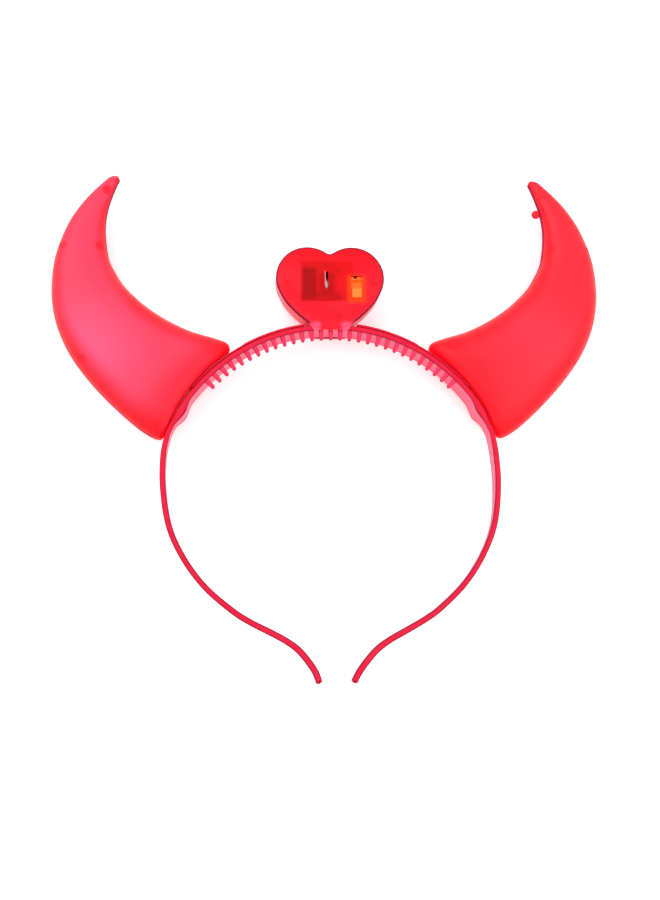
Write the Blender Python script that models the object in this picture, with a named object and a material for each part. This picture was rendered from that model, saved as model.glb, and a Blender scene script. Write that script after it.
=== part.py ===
import math

import bmesh
import bpy
from mathutils import Vector

# Light-up devil horns headband, lying on the backs of its two horns.
# X runs across the head, Y up the hoop towards the crown, Z out of the hoop's plane.
# Sizes are in millimetres. Shapes are drawn about the hoop's centre, with z = 0 on the hoop's
# middle plane, and make_object moves them so that the part stands on z = 0, centred in X and Y.
MM = 0.001
HOOP_CENTRE_Y = -32.647
MID_PLANE_Z = 11.0
GAP = 0.3

# How far a cutter reaches beyond what it cuts, and the sides of its large round forms
REACH = 20.0
ROUND_SIDES = 120
# Tolerances of the last clean-up of a mesh: metres and degrees
MERGE_DISTANCE = 0.000002
FLAT_ANGLE = 0.2

# Hoop, a true arc over the head as far as the shoulders
HOOP_OUTER_R = 71.5
HOOP_HALF_THICKNESS = 1.0
HOOP_HALF_WIDTH = 6.5
HOOP_EDGE = 0.5
SHOULDER_START = 59.5
SHOULDER_END = 63.0
SHOULDER_HALF_WIDTH = 4.5
ARC_END = 67.0
ARC_STEP = 4.0
ARC_LEAN = -0.3

# Sections of the hoop's legs from the arc's end down to the tip. X and Y are the middle of the
# thickness on the right leg, lean is how far both legs stand to the right of a true hoop, and
# edge is the size of the long edges' chamfer: the flat band turns into a rounded rod.
LEG_COLUMNS = ("x", "y", "lean", "half_thickness", "half_width", "edge")
LEG_ROWS = (
    (66.4, 19.0, -0.5, 1.10, 4.3, 0.55),
    (66.7, 6.0, -0.3, 1.15, 3.8, 0.6),
    (64.6, -9.0, 0.0, 1.20, 2.7, 0.7),
    (59.2, -21.5, 0.3, 1.20, 2.1, 0.7),
    (51.2, -32.7, 0.6, 1.20, 1.9, 0.7),
    (41.0, -42.0, 1.0, 1.25, 1.8, 0.7),
    (34.1, -46.6, 1.2, 1.25, 1.8, 0.7),
    (26.6, -50.6, 1.4, 1.30, 1.8, 0.7),
    (19.9, -54.3, 1.2, 1.30, 1.8, 0.7),
    (14.6, -58.4, 0.9, 1.35, 1.8, 0.7),
    (9.1, -65.3, 0.5, 1.35, 1.8, 0.7),
    (6.6, -70.5, 0.0, 1.30, 1.8, 0.7),
)
LEG_STEPS = 2
TIP_ROUNDING = 0.6
LEAST_FLAT = 0.1

# Comb
TOOTH_COUNT = 29
TOOTH_LAST_ANGLE = 45.7
TOOTH_ROOT_R = 69.9
TOOTH_TIP_R = 65.4
TOOTH_ROOT_HALF = 0.95
TOOTH_TIP_HALF = 0.75
TOOTH_BACK_Z = 4.0
TOOTH_FRONT_Z = 5.9
TOOTH_TIP_POINTS = 5

# Raised wire channels on the hoop, and their thinner ends under the horns
CHANNEL_INNER_R = HOOP_OUTER_R + GAP
CHANNEL_OUTER_R = 72.7
TONGUE_OUTER_R = 72.4
CHANNEL_HALF_WIDTH = 5.9
CHANNEL_START = 8.4
CHANNEL_STEP = 29.6
CHANNEL_RAMP = 1.2
CHANNEL_STEPS = 5
TONGUE_END = 50.5

# Horn sections from the base to the tip: the ends of each section on the inner and outer outline,
# half the depth, and the bow that makes the base follow the hoop
HORN_COLUMNS = ("inner_x", "inner_y", "outer_x", "outer_y", "half_depth", "bow")
HORN_ROWS = (
    (38.7, 62.7, 67.8, 24.0, 9.4, 4.0),
    (41.5, 65.2, 71.0, 26.3, 9.8, 3.8),
    (46.9, 67.2, 77.5, 30.7, 10.3, 3.0),
    (56.0, 69.9, 88.0, 40.3, 10.8, 1.6),
    (65.0, 74.2, 97.1, 50.3, 11.1, 0.6),
    (72.6, 79.1, 104.5, 60.8, 11.2, 0.0),
    (78.6, 84.2, 109.4, 71.8, 10.8, 0.0),
    (83.0, 88.9, 111.6, 82.4, 10.0, 0.0),
    (86.2, 93.9, 111.7, 92.2, 9.2, 0.0),
    (88.9, 99.5, 110.7, 100.4, 8.3, 0.0),
    (90.2, 106.0, 108.2, 108.8, 7.3, 0.0),
    (90.7, 112.5, 104.9, 116.5, 6.1, 0.0),
    (90.2, 119.0, 100.5, 123.4, 4.9, 0.0),
    (88.7, 125.1, 96.0, 128.8, 3.8, 0.0),
    (86.2, 131.8, 91.5, 133.4, 2.6, 0.0),
    (85.2, 134.0, 89.5, 135.2, 2.0, 0.0),
    (85.9, 135.7, 87.6, 136.1, 0.7, 0.0),
)
# Deepest that a horn is: its sections are held to this, which leaves the flats it rests on
HORN_HALF_DEPTH = 11.0
HORN_RING = 22
CAVITY_RING = 18
# Places along the table: where the base's rounding ends, where the hollow ends, the last rows
# that stand closer together than the steps of the shell
HORN_BASE_END = 2.0
HORN_HOLLOW_END = 13.0
HORN_STEP = 0.5
CAVITY_STEP = 1.0
HORN_WALL = 1.4
SECTION_POWER = 2.2
HORN_BOUNDS = (30.0, 120.0, 10.0, 150.0)
# Rounding of the base edge, as places along the table and how far the section is drawn in
BASE_ROUNDING = ((0.0, 4.2), (0.15, 2.4), (0.4, 1.1), (0.8, 0.3), (1.3, 0.0))
CAVITY_ROUNDING = ((0.5, 3.2), (0.9, 1.2), (1.4, 0.0))

# Pin bosses that join the two half shells of a horn
HORN_PINS = ((89.9, 128.9), (92.6, 104.1), (106.9, 104.1), (99.2, 57.3), (70.0, 29.6))
BOSS_R = 1.6
BOSS_SIDES = 8
PIN_R = 0.6
PIN_REACH = 1.8
PIN_ROOT = 1.2
SOCKET_R = 0.9
SOCKET_DEPTH = 2.3
NUB_PLACE = (88.4, 121.6)
NUB_R = 1.8
NUB_SIDES = 12
NUB_LOW_Z = -1.75
NUB_HIGH_Z = -0.2

# Heart-shaped battery box
LOBE_CENTRE = (9.0, 90.5)
LOBE_R = 12.9
LOBE_FIRST_ANGLE = 124.0
LOBE_LAST_ANGLE = -22.0
LOBE_POINTS = 13
HEART_NOTCH_Y = 100.5
HEART_SIDE = ((18.6, 81.1), (15.7, 77.6), (12.6, 74.6), (8.6, 71.6), (4.3, 69.9))
HEART_BOTTOM_Y = 69.5
# Heights and how far the outline is drawn in there. The hollow's leave a 1.2 mm wall.
FRONT_ROUNDING = ((0.15, 0.0), (7.2, 0.0), (8.0, 0.5), (8.4, 1.6))
BACK_ROUNDING = ((-0.15, 0.0), (-0.8, 0.0), (-4.2, 0.55), (-6.2, 1.5), (-7.4, 2.9), (-7.8, 4.6))
FRONT_HOLLOW = ((-1.0, 1.2), (5.0, 1.2), (7.2, 2.8))
BACK_HOLLOW = ((1.0, 1.2), (-0.8, 1.2), (-4.2, 1.8), (-6.6, 3.6))
FOOT_OUTLINE = ((-7.0, 69.1), (7.0, 69.1), (9.4, 72.7), (8.4, 75.2), (-8.4, 75.2), (-9.4, 72.7))
FOOT_FRONT_Z = 7.7
FOOT_BACK_Z = -7.6
SADDLE_HALF_WIDTH = HOOP_HALF_WIDTH + GAP
HEART_FLOOR_R = 73.1
HEART_PINS = ((-17.6, 88.2), (17.6, 88.2), (3.5, 74.8))
TAB_SLOT = (-1.85, -0.85, 86.1, 93.1)
FRONT_CUT = (4.0, 10.0)

# Cells and their holder
CELL_R = 5.8
CELL_CAP_R = 4.7
CELL_THICKNESS = 5.0
CELL_CAP = 0.8
CELL_CAP_FLARE = 0.2
CELL_SHOULDER = 0.1
CELL_COUNT = 3
CELL_FIRST_X = -11.2
CELL_SIDES = 20
CELL_CENTRE_Y = 88.4
CELL_CENTRE_Z = 0.3
HOLDER_END_WALL = 0.9
HOLDER_SIDE_WALL = 1.6
HOLDER_BAR_END = 12.4
HOLDER_BACK_Z = -6.3
HOLDER_FRONT_Z = 6.9

# Slide switch: a block that runs in a shallow trough of the switch's body
SWITCH_X = 10.65
KNOB_HALF_X = 1.95
KNOB_HALF_Y = 1.85
KNOB_EDGE = 0.3
KNOB_REST_Y = 83.95
KNOB_TRAVEL = 3.9
KNOB_BOTTOM_Z = 6.3
KNOB_TOP_Z = 9.4
TROUGH_BOTTOM_Z = 6.0
SWITCH_HALF_X = 3.2
SWITCH_END = 1.6
SWITCH_BACK_Z = 1.7
SWITCH_FRONT_Z = 6.9
# Small deep hole at the trough's upper end, past the knob's travel
NOTCH_X = 10.35
NOTCH_HALF_X = 0.8
NOTCH_LENGTH = 0.8
NOTCH_BOTTOM_Z = 3.0

PART_NAME = "devil_horns_headband"
SMOOTH_ANGLE = 35.0
RED = (0.90, 0.05, 0.08, 1.0)
LOOKS = {
    "headband": (RED, 0.28, 0.0),
    "wire_channel": (RED, 0.30, 0.0),
    "horn": ((0.95, 0.07, 0.11, 1.0), 0.25, 0.0),
    "heart": ((0.93, 0.06, 0.10, 1.0), 0.24, 0.0),
    "battery_holder": ((0.35, 0.02, 0.04, 1.0), 0.45, 0.0),
    "button_cell": ((0.72, 0.72, 0.74, 1.0), 0.30, 1.0),
    "switch_body": ((0.75, 0.22, 0.06, 1.0), 0.45, 0.0),
    "switch_knob": ((1.0, 0.45, 0.12, 1.0), 0.40, 0.0),
}


def clear_scene():
    for item in list(bpy.data.objects):
        bpy.data.objects.remove(item, do_unlink=True)
    for mesh in list(bpy.data.meshes):
        bpy.data.meshes.remove(mesh)
    for material in list(bpy.data.materials):
        bpy.data.materials.remove(material)


def place(x, y, z):
    return Vector((x * MM, (y + HOOP_CENTRE_Y) * MM, (z + MID_PLANE_Z) * MM))


def make_object(name, points, faces):
    mesh = bpy.data.meshes.new(name)
    form = bmesh.new()
    vertices = [form.verts.new(place(*point)) for point in points]
    for face in faces:
        form.faces.new([vertices[index] for index in face])
    bmesh.ops.recalc_face_normals(form, faces=form.faces)
    bent = [face for face in form.faces if len(face.verts) == 4]
    bmesh.ops.triangulate(form, faces=bent)
    form.to_mesh(mesh)
    form.free()
    item = bpy.data.objects.new(name, mesh)
    bpy.context.collection.objects.link(item)
    return item


def make_cutter(name, points, faces):
    item = make_object(name, points, faces)
    item.hide_render = True
    item.display_type = "WIRE"
    return item


def loft(rings, mirrored_caps=False):
    """Points and faces of a solid through rings that have the same number of points."""
    count = len(rings[0])
    points = [point for ring in rings for point in ring]
    faces = []
    for row in range(len(rings) - 1):
        low = row * count
        high = low + count
        for index in range(count):
            after = (index + 1) % count
            faces.append((low + index, low + after, high + after, high + index))
    last = (len(rings) - 1) * count
    if mirrored_caps:
        faces.extend(cap_strips(0, count))
        faces.extend(cap_strips(last, count))
    else:
        faces.append(tuple(range(count)))
        faces.append(tuple(range(last, last + count)))
    return points, faces


def cap_strips(first, count):
    """Strips across a ring whose two halves mirror each other, for an end that isn't flat."""
    half = count // 2
    strips = [(first, first + 1, first + count - 1)]
    for index in range(1, half - 1):
        strips.append((first + index, first + index + 1,
                       first + count - index - 1, first + count - index))
    strips.append((first + half - 1, first + half, first + half + 1))
    return strips


def prism(outline, low_z, high_z):
    low = [(x, y, low_z) for x, y in outline]
    high = [(x, y, high_z) for x, y in outline]
    return loft([low, high])


def rectangle(low_x, high_x, low_y, high_y):
    return [(low_x, low_y), (high_x, low_y), (high_x, high_y), (low_x, high_y)]


def circle(centre, radius, sides):
    outline = []
    for index in range(sides):
        turn = 2.0 * math.pi * (index + 0.5) / sides
        outline.append((centre[0] + radius * math.cos(turn), centre[1] + radius * math.sin(turn)))
    return outline


def combine(target, tool, operation):
    """Boolean of two objects. The tool is used up."""
    modifier = target.modifiers.new("boolean", "BOOLEAN")
    modifier.operation = operation
    modifier.solver = "EXACT"
    modifier.object = tool
    bpy.context.view_layer.update()
    graph = bpy.context.evaluated_depsgraph_get()
    result = bpy.data.meshes.new_from_object(target.evaluated_get(graph))
    target.modifiers.remove(modifier)
    used = target.data
    target.data = result
    result.name = target.name
    bpy.data.meshes.remove(used)
    bpy.data.objects.remove(tool, do_unlink=True)
    return target


def blend(rows, place_along):
    """Row of a table at a place between its rows, on a smooth curve through them."""
    last = len(rows) - 1
    start = min(int(place_along), last - 1)
    part = place_along - start
    before = rows[max(start - 1, 0)]
    after = rows[min(start + 2, last)]
    values = []
    for a, b, c, d in zip(before, rows[start], rows[start + 1], after):
        slope_b = (c - a) / 2.0
        slope_c = (d - b) / 2.0
        square = part * part
        cube = square * part
        value = (2.0 * cube - 3.0 * square + 1.0) * b + (cube - 2.0 * square + part) * slope_b
        value += (3.0 * square - 2.0 * cube) * c + (cube - square) * slope_c
        values.append(value)
    return tuple(values)


def finish(item, look, origin=None):
    """Clean mesh with the piece's own material, placed by its location under the part's empty."""
    form = bmesh.new()
    form.from_mesh(item.data)
    bmesh.ops.remove_doubles(form, verts=form.verts, dist=MERGE_DISTANCE)
    bmesh.ops.dissolve_degenerate(form, edges=form.edges, dist=MERGE_DISTANCE)
    bmesh.ops.dissolve_limit(form, angle_limit=math.radians(FLAT_ANGLE), verts=form.verts,
                             edges=form.edges)
    bmesh.ops.triangulate(form, faces=form.faces)
    bmesh.ops.recalc_face_normals(form, faces=form.faces)
    if origin is None:
        corners = [Vector(corner) for corner in item.bound_box]
        origin = sum(corners, Vector()) / len(corners)
    bmesh.ops.translate(form, verts=form.verts, vec=-origin)
    form.to_mesh(item.data)
    form.free()
    item.data.shade_smooth()
    item.data.set_sharp_from_angle(angle=math.radians(SMOOTH_ANGLE))
    item.location = origin
    item.parent = bpy.data.objects[PART_NAME]
    colour, roughness, metallic = LOOKS[look]
    material = bpy.data.materials.new(item.name)
    material.use_nodes = True
    shader = material.node_tree.nodes["Principled BSDF"]
    shader.inputs["Base Color"].default_value = colour
    shader.inputs["Roughness"].default_value = roughness
    shader.inputs["Metallic"].default_value = metallic
    material.diffuse_color = colour
    item.data.materials.clear()
    item.data.materials.append(material)


def hoop_stations():
    """Sections from the crown down to the right tip, each in the legs' columns."""
    stations = []
    middle_r = HOOP_OUTER_R - HOOP_HALF_THICKNESS
    angles = [ARC_STEP * index for index in range(int(SHOULDER_START / ARC_STEP) + 1)]
    angles.extend([SHOULDER_START, SHOULDER_END, ARC_END])
    for angle in angles:
        turn = math.radians(angle)
        narrowing = min(max((angle - SHOULDER_START) / (SHOULDER_END - SHOULDER_START), 0.0), 1.0)
        half_width = HOOP_HALF_WIDTH + (SHOULDER_HALF_WIDTH - HOOP_HALF_WIDTH) * narrowing
        lean = ARC_LEAN * narrowing
        stations.append((middle_r * math.sin(turn), middle_r * math.cos(turn), lean,
                         HOOP_HALF_THICKNESS, half_width, HOOP_EDGE))
    legs = (stations[-1],) + LEG_ROWS
    for step in range(1, (len(legs) - 1) * LEG_STEPS + 1):
        stations.append(blend(legs, step / LEG_STEPS))
    return [dict(zip(LEG_COLUMNS, station)) for station in stations]


def make_headband():
    half = hoop_stations()
    rows = []
    for side, stations in ((-1, reversed(half[1:])), (1, half)):
        for station in stations:
            rows.append((Vector((station["x"] * side + station["lean"], station["y"])), station))
    last = len(rows) - 1
    rings = []
    for index, (point, station) in enumerate(rows):
        along = (rows[min(index + 1, last)][0] - rows[max(index - 1, 0)][0]).normalized()
        out = Vector((-along.y, along.x))
        end = TIP_ROUNDING if index in (0, last) else 0.0
        thick = station["half_thickness"] - end
        width = station["half_width"] - end
        edge = min(station["edge"], thick - LEAST_FLAT)
        ring = []
        for side, front in ((-1, -1), (-1, 1), (1, 1), (1, -1)):
            flat = (side * thick, front * (width - edge))
            corner = (side * (thick - edge), front * width)
            pair = (flat, corner) if side == -front else (corner, flat)
            for offset, z in pair:
                ring.append((point.x + out.x * offset, point.y + out.y * offset, z))
        rings.append(ring)
    band = make_object("headband", *loft(rings))
    combine(band, make_teeth(), "UNION")
    finish(band, "headband")


def make_teeth():
    points = []
    faces = []
    for index in range(TOOTH_COUNT):
        share = 2.0 * index / (TOOTH_COUNT - 1) - 1.0
        turn = math.radians(TOOTH_LAST_ANGLE * share)
        outline = [(TOOTH_ROOT_HALF, TOOTH_ROOT_R)]
        for corner in range(TOOTH_TIP_POINTS):
            bend = math.pi * corner / (TOOTH_TIP_POINTS - 1)
            outline.append((TOOTH_TIP_HALF * math.cos(bend),
                            TOOTH_TIP_R + TOOTH_TIP_HALF * (1.0 - math.sin(bend))))
        outline.append((-TOOTH_ROOT_HALF, TOOTH_ROOT_R))
        turned = []
        for across, radius in outline:
            turned.append((radius * math.sin(turn) + across * math.cos(turn),
                           radius * math.cos(turn) - across * math.sin(turn)))
        tooth_points, tooth_faces = prism(turned, TOOTH_BACK_Z, TOOTH_FRONT_Z)
        first = len(points)
        points.extend(tooth_points)
        faces.extend([tuple(first + number for number in face) for face in tooth_faces])
    return make_cutter("teeth", points, faces)


def make_channel(side):
    """Raised strip from the heart's foot to a horn, thinner where it goes on under the horn."""
    angles = []
    ramp_start = CHANNEL_STEP - CHANNEL_RAMP
    for start, end, outer in ((CHANNEL_START, ramp_start, CHANNEL_OUTER_R),
                              (CHANNEL_STEP, TONGUE_END, TONGUE_OUTER_R)):
        for index in range(CHANNEL_STEPS + 1):
            angles.append((start + (end - start) * index / CHANNEL_STEPS, outer))
    edge = GAP / 2.0
    rings = []
    for angle, outer in angles:
        turn = math.radians(angle) * side
        ring = []
        for radius, z in (
            (CHANNEL_INNER_R, -CHANNEL_HALF_WIDTH),
            (CHANNEL_INNER_R, CHANNEL_HALF_WIDTH),
            (outer - edge, CHANNEL_HALF_WIDTH),
            (outer, CHANNEL_HALF_WIDTH - edge),
            (outer, edge - CHANNEL_HALF_WIDTH),
            (outer - edge, -CHANNEL_HALF_WIDTH),
        ):
            ring.append((radius * math.sin(turn), radius * math.cos(turn), z))
        rings.append(ring)
    name = "wire_channel_right" if side > 0 else "wire_channel_left"
    finish(make_object(name, *loft(rings)), "wire_channel")


def horn_ring(place_along, drawn_in, count, side):
    """Closed section of a horn, rounded front and back, with a flat facet at its deepest."""
    row = dict(zip(HORN_COLUMNS, blend(HORN_ROWS, place_along)))
    half_depth = min(row["half_depth"], HORN_HALF_DEPTH)
    inner = Vector((row["inner_x"], row["inner_y"]))
    outer = Vector((row["outer_x"], row["outer_y"]))
    middle = (inner + outer) / 2.0
    half = (outer - inner) / 2.0
    out = Vector((-half.y, half.x)).normalized()
    scale = (half.length - drawn_in) / half.length
    power = 2.0 / SECTION_POWER
    top = math.sin(math.pi * (count // 4) * 2.0 / count) ** power
    ring = []
    for index in range(count):
        turn = 2.0 * math.pi * index / count
        across = math.copysign(abs(math.cos(turn)) ** power, math.cos(turn)) * scale
        height = math.copysign(abs(math.sin(turn)) ** power, math.sin(turn)) / top
        point = middle + half * across + out * row["bow"] * (1.0 - across * across)
        if index in (0, count // 2):
            height = 0.0
        ring.append((point.x * side, point.y, (half_depth - drawn_in) * height))
    return ring


def horn_rings(rounding, step, drawn_in, count, side):
    rings = [horn_ring(along, inset + drawn_in, count, side) for along, inset in rounding]
    for index in range(int(round((HORN_HOLLOW_END - HORN_BASE_END) / step)) + 1):
        rings.append(horn_ring(HORN_BASE_END + step * index, drawn_in, count, side))
    return rings


def post(name, centre, radius, low_z, high_z, sides=BOSS_SIDES):
    return make_cutter(name, *prism(circle(centre, radius, sides), low_z, high_z))


def join_pins(shell, places, front):
    """Sockets in a front half and the pins for them on a back half."""
    for place_xy in places:
        if front:
            combine(shell, post("socket", place_xy, SOCKET_R, -GAP, SOCKET_DEPTH), "DIFFERENCE")
        else:
            combine(shell, post("pin", place_xy, PIN_R, -PIN_ROOT, PIN_REACH), "UNION")


def make_horn_half(name, side, front):
    """Hollow half shell: the full form less the other half and less its hollow."""
    pins = [(x * side, y) for x, y in HORN_PINS]
    rings = horn_rings(BASE_ROUNDING, HORN_STEP, 0.0, HORN_RING, side)
    for row in range(int(HORN_HOLLOW_END) + 1, len(HORN_ROWS)):
        rings.append(horn_ring(row, 0.0, HORN_RING, side))
    shell = make_object(name, *loft(rings, mirrored_caps=True))
    hollow_rings = horn_rings(CAVITY_ROUNDING, CAVITY_STEP, HORN_WALL, CAVITY_RING, side)
    hollow = make_cutter("hollow", *loft(hollow_rings, mirrored_caps=True))
    for pin in pins:
        combine(hollow, post("boss", pin, BOSS_R, -REACH, REACH), "DIFFERENCE")
    low, high = (-REACH, GAP / 2.0) if front else (-GAP / 2.0, REACH)
    near_x, far_x, low_y, high_y = HORN_BOUNDS
    outline = rectangle(min(near_x * side, far_x * side), max(near_x * side, far_x * side),
                        low_y, high_y)
    combine(shell, make_cutter("other_half", *prism(outline, low, high)), "DIFFERENCE")
    combine(shell, hollow, "DIFFERENCE")
    join_pins(shell, pins, front)
    if side > 0 and not front:
        combine(shell, post("nub", NUB_PLACE, NUB_R, NUB_LOW_Z, NUB_HIGH_Z, NUB_SIDES), "UNION")
    finish(shell, "horn")


def heart_outline(drawn_in):
    """Closed heart outline, drawn in along its normals."""
    right = [(0.0, HEART_NOTCH_Y)]
    for index in range(LOBE_POINTS):
        share = index / (LOBE_POINTS - 1)
        turn = math.radians(LOBE_FIRST_ANGLE + (LOBE_LAST_ANGLE - LOBE_FIRST_ANGLE) * share)
        right.append((LOBE_CENTRE[0] + LOBE_R * math.cos(turn),
                      LOBE_CENTRE[1] + LOBE_R * math.sin(turn)))
    right.extend(HEART_SIDE)
    right.append((0.0, HEART_BOTTOM_Y))
    left = [(-x, y) for x, y in reversed(right[1:-1])]
    outline = [Vector(point) for point in right + left]
    drawn = []
    for index, point in enumerate(outline):
        before = outline[index - 1]
        after = outline[(index + 1) % len(outline)]
        along = (after - before).normalized()
        inward = Vector((along.y, -along.x))
        drawn.append((point.x + inward.x * drawn_in, point.y + inward.y * drawn_in))
    return drawn


def heart_form(rounding):
    rings = []
    for z, inset in rounding:
        rings.append([(x, y, z) for x, y in heart_outline(inset)])
    return loft(rings)


def make_heart(front):
    """One half of the battery box, hollow, with its half of the saddle foot."""
    name = "heart_front" if front else "heart_back"
    shell = make_object(name, *heart_form(FRONT_ROUNDING if front else BACK_ROUNDING))
    parting = GAP / 2.0 if front else -GAP / 2.0
    foot_end = FOOT_FRONT_Z if front else FOOT_BACK_Z
    foot = prism(FOOT_OUTLINE, min(parting, foot_end), max(parting, foot_end))
    combine(shell, make_cutter("foot", *foot), "UNION")

    hollow = make_cutter("hollow", *heart_form(FRONT_HOLLOW if front else BACK_HOLLOW))
    hoop_centre = (0.0, 0.0)
    combine(hollow, post("floor", hoop_centre, HEART_FLOOR_R, -REACH, REACH, ROUND_SIDES),
            "DIFFERENCE")
    for pin in HEART_PINS:
        combine(hollow, post("boss", pin, BOSS_R, -REACH, REACH), "DIFFERENCE")
    combine(shell, hollow, "DIFFERENCE")
    combine(shell, post("seat", hoop_centre, HOOP_OUTER_R + GAP, -SADDLE_HALF_WIDTH,
                        SADDLE_HALF_WIDTH, ROUND_SIDES), "DIFFERENCE")
    join_pins(shell, HEART_PINS, front)
    if front:
        combine(shell, make_cutter("slot", *prism(rectangle(*TAB_SLOT), *FRONT_CUT)), "DIFFERENCE")
        window = knob_path(GAP)
        combine(shell, make_cutter("window", *prism(window, *FRONT_CUT)), "DIFFERENCE")
    finish(shell, "heart")


def knob_path(margin):
    """Outline that the knob sweeps, with a margin round it."""
    return rectangle(SWITCH_X - KNOB_HALF_X - margin, SWITCH_X + KNOB_HALF_X + margin,
                     KNOB_REST_Y - KNOB_HALF_Y - margin,
                     KNOB_REST_Y + KNOB_TRAVEL + KNOB_HALF_Y + margin)


def make_cells():
    """Row of button cells, each a can with its smaller cap."""
    for number in range(CELL_COUNT):
        start = CELL_FIRST_X + number * (CELL_THICKNESS + GAP)
        rings = []
        for x, radius in (
            (start, CELL_CAP_R),
            (start + CELL_CAP, CELL_CAP_R + CELL_CAP_FLARE),
            (start + CELL_CAP + CELL_SHOULDER, CELL_R),
            (start + CELL_THICKNESS, CELL_R),
        ):
            ring = []
            for y, z in circle((CELL_CENTRE_Y, CELL_CENTRE_Z), radius, CELL_SIDES):
                ring.append((x, y, z))
            rings.append(ring)
        cell = make_object("button_cell_%d" % (number + 1), *loft(rings))
        finish(cell, "button_cell")


def make_holder():
    """Frame round the cells. Its top bar goes on over the switch."""
    low_x = CELL_FIRST_X - GAP
    high_x = CELL_FIRST_X + CELL_COUNT * CELL_THICKNESS + (CELL_COUNT - 1) * GAP + GAP
    low_y = CELL_CENTRE_Y - CELL_R - GAP
    high_y = CELL_CENTRE_Y + CELL_R + GAP
    outline = rectangle(low_x - HOLDER_END_WALL, high_x + HOLDER_END_WALL,
                        low_y - HOLDER_SIDE_WALL, high_y + HOLDER_SIDE_WALL)
    bar = [outline[0], outline[1], (outline[1][0], high_y), (HOLDER_BAR_END, high_y),
           (HOLDER_BAR_END, outline[2][1]), outline[3]]
    holder = make_object("battery_holder", *prism(bar, HOLDER_BACK_Z, HOLDER_FRONT_Z))
    pocket = make_cutter("pocket", *prism(rectangle(low_x, high_x, low_y, high_y), -REACH, REACH))
    combine(holder, pocket, "DIFFERENCE")
    finish(holder, "battery_holder")


def make_switch():
    low_y = KNOB_REST_Y - KNOB_HALF_Y - SWITCH_END
    high_y = KNOB_REST_Y + KNOB_TRAVEL + KNOB_HALF_Y + SWITCH_END
    outline = rectangle(SWITCH_X - SWITCH_HALF_X, SWITCH_X + SWITCH_HALF_X, low_y, high_y)
    body = make_object("switch_body", *prism(outline, SWITCH_BACK_Z, SWITCH_FRONT_Z))
    trough = make_cutter("trough", *prism(knob_path(GAP), TROUGH_BOTTOM_Z, REACH))
    combine(body, trough, "DIFFERENCE")
    trough_end = KNOB_REST_Y + KNOB_TRAVEL + KNOB_HALF_Y + GAP
    notch = rectangle(NOTCH_X - NOTCH_HALF_X, NOTCH_X + NOTCH_HALF_X,
                      trough_end - NOTCH_LENGTH, trough_end)
    combine(body, make_cutter("notch", *prism(notch, NOTCH_BOTTOM_Z, REACH)), "DIFFERENCE")
    finish(body, "switch_body")

    rings = []
    for inset, z in ((0.0, KNOB_BOTTOM_Z), (0.0, KNOB_TOP_Z - KNOB_EDGE), (KNOB_EDGE, KNOB_TOP_Z)):
        square = rectangle(SWITCH_X - KNOB_HALF_X + inset, SWITCH_X + KNOB_HALF_X - inset,
                           KNOB_REST_Y - KNOB_HALF_Y + inset, KNOB_REST_Y + KNOB_HALF_Y - inset)
        rings.append([(x, y, z) for x, y in square])
    knob = make_object("switch_knob", *loft(rings))
    finish(knob, "switch_knob", place(SWITCH_X, KNOB_REST_Y, KNOB_BOTTOM_Z))


def build():
    clear_scene()
    whole = bpy.data.objects.new(PART_NAME, None)
    bpy.context.collection.objects.link(whole)
    make_headband()
    for side in (-1, 1):
        make_channel(side)
    make_horn_half("horn_left_front", -1, True)
    make_horn_half("horn_left_back", -1, False)
    make_horn_half("horn_right_front", 1, True)
    make_horn_half("horn_right_back", 1, False)
    make_heart(True)
    make_heart(False)
    make_holder()
    make_cells()
    make_switch()


build()
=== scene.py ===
import math

import bmesh
import bpy
from mathutils import Matrix, Vector
from mathutils.bvhtree import BVHTree


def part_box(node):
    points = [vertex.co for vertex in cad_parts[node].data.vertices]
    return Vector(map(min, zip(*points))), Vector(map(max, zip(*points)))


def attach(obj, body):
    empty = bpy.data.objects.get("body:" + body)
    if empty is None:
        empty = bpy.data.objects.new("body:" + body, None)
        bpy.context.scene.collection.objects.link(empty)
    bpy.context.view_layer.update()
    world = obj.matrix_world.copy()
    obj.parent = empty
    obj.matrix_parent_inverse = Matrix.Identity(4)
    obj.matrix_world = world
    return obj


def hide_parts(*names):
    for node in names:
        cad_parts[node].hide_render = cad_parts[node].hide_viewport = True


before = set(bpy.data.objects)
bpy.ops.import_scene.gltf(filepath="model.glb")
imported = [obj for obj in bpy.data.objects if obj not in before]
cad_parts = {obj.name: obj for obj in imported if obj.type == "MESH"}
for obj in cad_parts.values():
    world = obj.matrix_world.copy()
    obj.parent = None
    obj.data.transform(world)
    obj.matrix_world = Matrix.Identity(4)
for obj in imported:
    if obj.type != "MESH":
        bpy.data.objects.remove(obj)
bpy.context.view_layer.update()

# Shapes are drawn in millimetres about the hoop's centre, with z = 0 on the hoop's middle plane.
mm = 0.001
halfSeam = 0.15  # half the gap that two glued shells keep

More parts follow.
